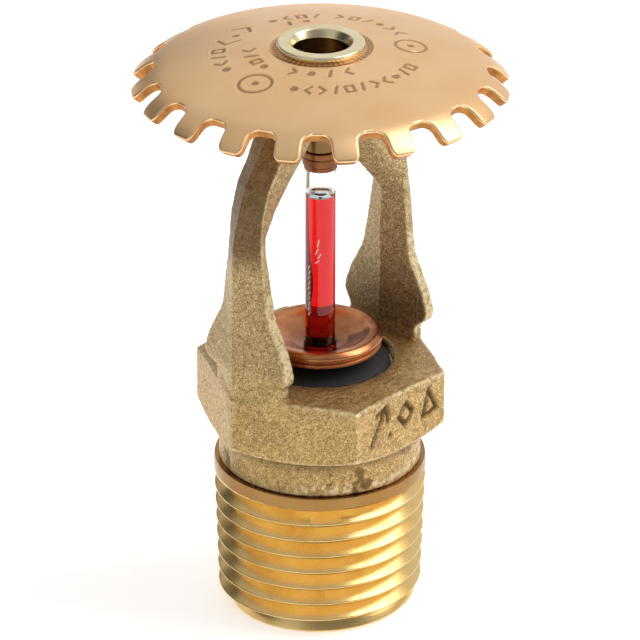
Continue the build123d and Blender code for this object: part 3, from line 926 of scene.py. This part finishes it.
def casting_mesh():
    """The CAD frame without its thread and nosing, as an object with one fine even mesh."""
    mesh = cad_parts["frame"].data.copy()
    mesh.transform(Matrix.Scale(1 / MM, 4))
    with editing(mesh) as bm:
        bmesh.ops.remove_doubles(bm, verts=bm.verts, dist=1e-4)
        for height, away in ((CAST_BOTTOM + 0.02, -1), (CAST_TOP, 1)):
            every = bm.verts[:] + bm.edges[:] + bm.faces[:]
            side = {"plane_co": (0, 0, height), "plane_no": (0, 0, away)}
            bmesh.ops.bisect_plane(bm, geom=every, clear_outer=True, **side)
            open_edges = [e for e in bm.edges if e.is_boundary]
            bmesh.ops.triangle_fill(bm, edges=open_edges, use_beauty=True, use_dissolve=False)
        bmesh.ops.recalc_face_normals(bm, faces=bm.faces)
    obj = linked("frame_casting", mesh)
    voxels = obj.modifiers.new("voxels", "REMESH")
    voxels.mode = "VOXEL"
    voxels.voxel_size = VOXEL
    bpy.context.view_layer.update()
    graph = bpy.context.evaluated_depsgraph_get()
    solid = bpy.data.meshes.new_from_object(obj.evaluated_get(graph))
    obj.modifiers.clear()
    obj.data = solid
    solid.name = "frame_casting"
    return obj


def vectors(mesh, name):
    """Three numbers for each point of a mesh, such as its place or its normal."""
    values = np.empty(len(mesh.vertices) * 3)
    mesh.vertices.foreach_get(name, values)
    return values.reshape(-1, 3)


def bulge(points, normals, ends, valence):
    """How far the surface stands out from its surroundings; negative in the hollows."""
    smooth = points
    for _ in range(6):
        smooth = averaged(smooth, ends, valence)
    out = np.einsum("ij,ij->i", points - smooth, normals)
    for _ in range(2):
        out = averaged(out, ends, valence)
    return out


def wear_highlight_and_shade(points, normals, out):
    """How worn or lit by painted highlights, and how dark with painted shade, the casting is by its
    shape, from 0 to 1.
    """
    along, height = np.abs(points[:, 0]), points[:, 2]
    above_boss = height > BOSS_TOP + 0.4
    # Painted highlight on the barbs' side faces, carried with the worn edges
    on_barb = (np.abs(normals[:, 1]) > 0.8) & above_boss & (height < 37.5) & (along > 7)
    wear = ramp(np.where(on_barb, 0.068, out), 0, 0.09)
    # Painted shade in the hollows and in the corner under the boss, and dark reflections painted on the
    # outer faces of the leaning arms and low down on the arms' inner faces
    outward = normals[:, 0] * np.sign(points[:, 0])
    outer_arm_shade = ramp(outward, 0.3, 0.3) * ramp(height, 39, 3)
    boss_corner_shade = ramp(height, COLLAR_TOP - 1.3, 1.2) * (height < COLLAR_TOP + 0.1)
    low_arm = (height > BOSS_TOP + 1) & (along > 7)
    inner_arm_shade = ramp(outward, -0.6, -0.3) * ramp(height, 37, -7) * low_arm
    return wear, np.max([ramp(out, 0, -0.1), 0.75 * outer_arm_shade, 0.7 * boss_corner_shade, 0.5 * inner_arm_shade], axis=0)


def room_inside(points, radius):
    """How much to widen each point's radius, to leave room for the machined liners."""
    height = points[:, 2]
    room = np.where(height < SEAT_Z - 0.2, ORIFICE_R, RECESS_R) + 0.15
    inner = (height < BOSS_TOP - 0.15) & (radius < room + 0.25)
    tapped = (height > SCREW_LOW - 0.5) & (radius < TAPPED_ROOM + 0.03)
    wanted = np.where(tapped, TAPPED_ROOM, np.where(inner, room, 0))
    return np.maximum(wanted, radius) / np.maximum(radius, 1e-6)


def casting():
    obj = casting_mesh()
    solid = obj.data
    points = vectors(solid, "co")
    ends, valence = neighbours(solid)
    # Smoothing in and out by turns, which takes off the voxels' steps and keeps the size
    for share in (0.5, -0.53) * 4:
        points += share * (averaged(points, ends, valence) - points)
    solid.vertices.foreach_set("co", points.ravel())
    solid.update()
    normals = vectors(solid, "normal")
    wear, cavity = wear_highlight_and_shade(points, normals, bulge(points, normals, ends, valence))

    x, y, height = points.T
    radius = np.hypot(x, y)
    outside = ramp(radius, RECESS_R + 0.2, 0.4)
    outside = np.where(height > BOSS_TOP - 0.2, 1, outside)
    grain = np.array([noise.fractal(Vector(p) / 0.9, 0.8, 2.1, 3) for p in points])
    lumps = noise_at(points / 3.5)
    streaks = noise_at(points / (0.4, 0.4, 1.5))
    # Painted highlight in a streaky band just above the thread, at the front right
    around = np.arctan2(y, x) - FACING - radians(35)
    front_band_highlight = np.clip(5 * streaks + 2 * grain + 2 * lumps + 0.3, 0, 1) * outside
    front_band_highlight *= ramp(height, THREAD_TOP + 2.1, -1.1) * np.clip(0.2 + np.cos(around), 0, 1)
    wear = np.maximum(wear, 0.85 * front_band_highlight)
    spots = (height < COLLAR_TOP) * np.clip(-5 * lumps - 2 * grain - 0.8, 0, 1) * outside
    marks = cast_marks(points)
    # The painted shade, with the dark blemishes low on the casting and darker impressed marks
    cavity = np.max([cavity, 0.8 * spots, marks / MARK_DEPTH], axis=0)

    # A sandy surface, with a parting line down the middle of each arm
    on_arm = (np.abs(x) > 4.5) & (height > BOSS_TOP + 0.8)
    flash = np.where(on_arm, 0.07 * np.exp(-((y / 0.16) ** 2)), 0)
    rise = (0.03 * grain + 0.05 * lumps) * outside + flash
    moved = points + normals * rise[:, None]
    moved[:, 1] += marks
    moved[:, :2] *= room_inside(points, radius)[:, None]
    solid.vertices.foreach_set("co", moved.ravel())
    point_values(solid, wear=wear, cavity=cavity)
    dress(obj, "frame", [CAST], ["frame"], crease=180)


casting()

# ---- Bulb ----

CAVITY_SHOULDER = 44.15
CAVITY_TOP = 45.05
# Depth of the meniscus
DIP = 0.16


def round_end(radius, bottom):
    """Half of a round lower end, from the axis out to the tube."""
    return [(radius * cos(t), bottom + radius * (1 + sin(t))) for t in np.linspace(-pi / 2, 0, 14)]


def spun(outline):
    """Points and faces of one wall of the bulb, turned round the axis."""
    return turned(refined(np.array(outline), 1.0), 96, False)


def bulb():
    """Tube with round ends; the cavity ends in a dome under a plug of thick glass."""
    inner_r = BULB_R - BULB_WALL
    outer = round_end(BULB_R, BULB_LOW)
    outer += [(r, BULB_LOW + BULB_HIGH - z) for r, z in reversed(outer)]
    inner = round_end(inner_r, BULB_LOW + BULB_WALL)
    inner += [(inner_r, CAVITY_SHOULDER - 0.2), (1.12, CAVITY_SHOULDER), (0.92, CAVITY_SHOULDER + 0.2)]
    dome = np.linspace(0, pi / 2, 12)[:-1]
    inner += [(0.86 * cos(t), CAVITY_TOP - 0.55 + 0.55 * sin(t)) for t in dome]
    inner.append((0, CAVITY_TOP))
    shell, faces = spun(outer)
    hollow, hollow_faces = spun(inner)
    faces += (np.array(hollow_faces) + len(shell)).tolist()
    shape = np.concatenate([shell, hollow]), faces
    looks = [GLASS, WET_GLASS]
    tube = piece("bulb_tube", shape, "valve", looks, ["bulb_glass"], 60)
    turn_inside_out(tube, inner_r + BULB_WALL / 2)


def turn_inside_out(obj, radius):
    """Makes the faces of a hollow look into the hollow, so that light meets glass between them."""
    with editing(obj.data) as bm:
        inside = []
        for face in bm.faces:
            centre = face.calc_center_median() / MM
            between = BULB_LOW + BULB_WALL / 2 < centre.z < (CAVITY_TOP + BULB_HIGH) / 2
            if centre.xy.length < radius and between:
                face.material_index = int(centre.z < LIQUID_TOP - 0.05)
                inside.append(face)
        outward = [f for f in inside if f.normal.xy.dot(f.calc_center_median().xy) > 0]
        if len(outward) > len(inside) / 2:
            bmesh.ops.reverse_faces(bm, faces=inside)


bulb()


def liquid():
    """Liquid filling the cavity up to a shallow meniscus, a hair inside the glass."""
    radius = BULB_R - BULB_WALL - 0.01
    outline = round_end(radius, BULB_LOW + BULB_WALL + 0.01)
    outline.append((radius, LIQUID_TOP))
    inward = np.linspace(0.03, 1, 12)
    outline += [(radius * (1 - t), LIQUID_TOP - DIP * (1 - (1 - t) ** 4)) for t in inward]
    looks = [LIQUID, LIQUID_SIDE]
    fluid = piece("bulb_fluid", spun(outline), "valve", looks, ["bulb_liquid"], 50)
    second_look(fluid, lambda centre, normal: centre.z < LIQUID_TOP - DIP - 0.01 or normal.z < 0.3)


liquid()

# Short white ticks fired on the glass: degrees right of the front, height, half length, width, lean.
# They are a plain tally and spell nothing.
TICKS = [(-48 + 2 * (i % 2), 36.6 - 0.56 * i, 0.24, 0.15, 68) for i in range(10)]
TICKS += [(-8, 39.4, 0.42, 0.12, 78), (-13, 38.5, 0.36, 0.12, 66)]
TICKS += [(-4, 38.0, 0.3, 0.12, 60), (-11, 37.4, 0.26, 0.12, 40)]


def tick_points(angle, height, long, wide, lean):
    """Points of one tick: five pairs along it on the glass, then five pairs on its outer face."""
    middle, turn = FACING + radians(angle), radians(lean)
    points = []
    for layer in (BULB_R + 0.002, BULB_R + 0.02):
        for along in np.linspace(-long, long, 5):
            for across in (-wide / 2, wide / 2):
                around = middle + (along * cos(turn) - across * sin(turn)) / BULB_R
                up = along * sin(turn) + across * cos(turn)
                points.append((layer * cos(around), layer * sin(around), height + up))
    return points


def bulb_print():
    points, faces = [], []
    rim = np.array([0, 2, 4, 6, 8, 9, 7, 5, 3, 1])
    for tick in TICKS:
        start = len(points)
        points += tick_points(*tick)
        first = [start + layer + 2 * i for layer in (0, len(rim)) for i in range(4)]
        faces += [(a, a + 1, a + 3, a + 2) for a in first]
        faces += stitched(start + rim, start + rim + len(rim))
    piece("bulb_print", (points, faces), "valve", [ENAMEL], (), crease=60)


bulb_print()

# ---- Spacer, load screw, cap and seal ----


def spacer():
    low, high = heights("bulb_spacer")
    corners = [
        (0, high, 0), (1.8, high, 0.12), (1.8, high - 0.62, 0.05), (1.72, high - 0.7, 0.03),
        (1.8, high - 0.78, 0.05), (1.8, low + 0.5, 0.14), (1.65, low + 0.42, 0.05),
        (1.65, low, 0.05), (1.52, low, 0.03), (1.52, low + 0.24, 0.02), (0.95, low + 0.81, 0.05),
        (0.95, low + 1.3, 0.1), (0, low + 1.3, 0),
    ]
    shape = lathed(corners, 96, 0.3)
    piece("spacer_cup", shape, "spacer", [SHADED_SPACER_COPPER], ["bulb_spacer"])


spacer()


SCREW_R = 2.5
SCREW_DEPTH = 0.45
SCREW_THREAD_LOW = 51.0
SCREW_NOSE_R = 1.65
SOCKET_HALF = 1.25


def screw_crest(height):
    """Radius of the load screw's crests, chamfered at both ends of the thread."""
    from_end = np.minimum(height - SCREW_THREAD_LOW, SCREW_HIGH - height)
    return SCREW_R - np.clip(SCREW_DEPTH - from_end, 0, SCREW_DEPTH)


def screw_depth(height):
    """Depth of the load screw's thread, less where the chamfer has taken some off."""
    return np.maximum(screw_crest(height) - (SCREW_R - SCREW_DEPTH), 0)


def load_screw():
    angles = even_angles(96)
    high = SCREW_HIGH
    hexagon = SOCKET_HALF / np.cos((angles + pi / 6) % (pi / 3) - pi / 6)
    top = [(SCREW_R - SCREW_DEPTH - 0.15, high), (hexagon + 0.14, high), (hexagon, high - 0.12)]
    top += [(hexagon, high - 2.2), (0.0, high - 2.5)]
    nose = [(SCREW_NOSE_R, SCREW_THREAD_LOW), (SCREW_NOSE_R, SCREW_LOW + 0.12)]
    nose += [(SCREW_NOSE_R - 0.12, SCREW_LOW), (0.0, SCREW_LOW)]
    thread = screw_crest, screw_depth, SCREW_PITCH, SCREW_THREAD_LOW, high
    shape = threaded(thread, angles, [(top, -1), (nose, 0)])
    piece("screw_body", shape, "screw", [SHADED_SCREW_BRASS], ["load_screw"])


load_screw()


def in_dish(centre, normal):
    return centre.xy.length < 5.0 and normal.z > 0.1


def cap():
    low, high = heights("pip_cap")
    socket = BULB_LOW
    under = heights("seal_film_upper")[1]
    corners = [
        (0, low, 0), (3.2, low, 0.3), (3.2, under, 0.1), (4.4, under + 0.01, 0.1),
        (5.65, 27.7, 0.25), (6.12, 27.9, 0.2), (6.12, 28.28, 0.06), (5.85, 28.45, 0.06),
        (6.22, 28.6, 0.1), (6.25, 29.0, 0.3), (5.8, high, 0.35), (4.95, high - 0.14, 0.3),
        (4.3, high - 0.5, 0.9), (2.75, high - 1.1, 0.5), (1.75, socket + 1.47, 0.12),
        (BULB_R + 0.02, socket + 1.4, 0.03), (BULB_R + 0.02, socket, 0.05), (0, socket, 0),
    ]
    shape = lathed(corners, 160, 0.25, steps=7)
    looks = [COPPER, LIT_DISH_COPPER]
    dished = piece("cap_dish", shape, "valve", looks, ["pip_cap"])
    second_look(dished, in_dish)


cap()


def seal_ring(name, node, outer_r, inner_r, thickness, fillet):
    """A coned washer between its seat and the cap."""
    base, top = heights(node)
    corners = [
        (inner_r, top, fillet), (outer_r, base + thickness, fillet), (outer_r, base, fillet),
        (inner_r, top - thickness, fillet),
    ]
    shape = lathed(corners, 160, 0.3, closed=True, steps=4)
    washer = piece(name, shape, None, [DARK_FILM], [node])
    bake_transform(washer)


seal_ring("seal_disc", "spring_seal", 7.0, 3.35, 0.45, 0.15)
seal_ring("seal_film_under", "seal_film_lower", 7.0, 4.4, 0.1, 0.03)
seal_ring("seal_film_over", "seal_film_upper", 6.6, 3.35, 0.1, 0.03)

# ---- Camera ----

AZIMUTH = radians(-47.0)
ELEVATION = 26.0
DISTANCE = 0.5
LENS = 284.0
ROLL = radians(0.14)
MIDDLE = Vector((0, 0, HEIGHT * MM / 2 + 0.0002))


def toward(azimuth, elevation):
    """Unit vector from the object toward a place, in degrees right of the camera and above level."""
    around, up = AZIMUTH + radians(azimuth), radians(elevation)
    return Vector((sin(around) * cos(up), -cos(around) * cos(up), sin(up)))


def aimed(place, roll=0.0):
    """Matrix of something that stands at a place and looks at the object's middle."""
    look = (MIDDLE - place).to_track_quat("-Z", "Y").to_matrix().to_4x4()
    return Matrix.Translation(place) @ look @ Matrix.Rotation(roll, 4, "Z")


camera = linked("camera", bpy.data.cameras.new("camera"))
camera.data.lens = LENS
camera.data.sensor_width = 36.0
camera.data.clip_start = 0.01
camera.data.shift_x = -0.0002
camera.matrix_world = aimed(MIDDLE + toward(0, ELEVATION) * DISTANCE, ROLL)
bpy.context.scene.camera = camera

# ---- Studio ----

key = bpy.data.lights.new("key_right", "AREA")
key.shape = "RECTANGLE"
key.size, key.size_y = 0.34, 0.42
key.energy = 1.5
linked("key_right", key).matrix_world = aimed(MIDDLE + toward(92, 52) * 0.6)

# The room: an even grey with soft bright and dark regions. Each is the direction to its middle in
# degrees (right of the camera, above the horizon), the angles where it is full and where it ends, and
# how much it adds.
ROOM = 0.6
REGIONS = (
    (165, 25, 12, 45, 0.25),
    (-161, 13, 7, 15, -0.5),
    (-92, 8, 20, 42, -0.54),
    (-133, 27, 7, 13, -0.5),
    (84, 31, 11, 19, 1.5),
    (15, 15, 20, 50, -0.36),
)


def room():
    """World light that changes smoothly with direction."""
    world = bpy.data.worlds.new("studio")
    bpy.context.scene.world = world
    world.use_nodes = True
    nodes = Nodes(world.node_tree)
    direction = nodes.add("ShaderNodeTexCoord").outputs["Generated"]
    total = ROOM
    for azimuth, elevation, full, end, amount in REGIONS:
        dot = nodes.add("ShaderNodeVectorMath", {"operation": "DOT_PRODUCT"})
        nodes.feed(dot.inputs[0], direction)
        nodes.feed(dot.inputs[1], toward(azimuth, elevation))
        ends = {"From_Min": cos(radians(end)), "From_Max": cos(radians(full)), "To_Max": amount}
        soft = {"interpolation_type": "SMOOTHSTEP"}
        fade = nodes.add("ShaderNodeMapRange", soft, Value=dot.outputs["Value"], **ends)
        both = nodes.add("ShaderNodeMath")
        nodes.feed(both.inputs[0], fade.outputs["Result"])
        nodes.feed(both.inputs[1], total)
        total = both.outputs[0]
    background = world.node_tree.nodes["Background"]
    nodes.feed(background.inputs["Color"], (1.0, 1.0, 1.0, 1.0))
    nodes.feed(background.inputs["Strength"], total)


room()

SIDE = 4.0
floor_mesh = bpy.data.meshes.new("floor")
corners = [(-SIDE, -SIDE, 0), (SIDE, -SIDE, 0), (SIDE, SIDE, 0), (-SIDE, SIDE, 0)]
floor_mesh.from_pydata(corners, [], [(0, 1, 2, 3)])
floor = linked("floor", floor_mesh)
pale = Paint("pale_floor", Base_Color=(0.92, 0.92, 0.92, 1), Roughness=0.8)
pale.set(Emission_Color=(1, 1, 1, 1), Emission_Strength=0.52)
floor_mesh.materials.append(pale.material)

bpy.context.scene.view_settings.view_transform = "Standard"
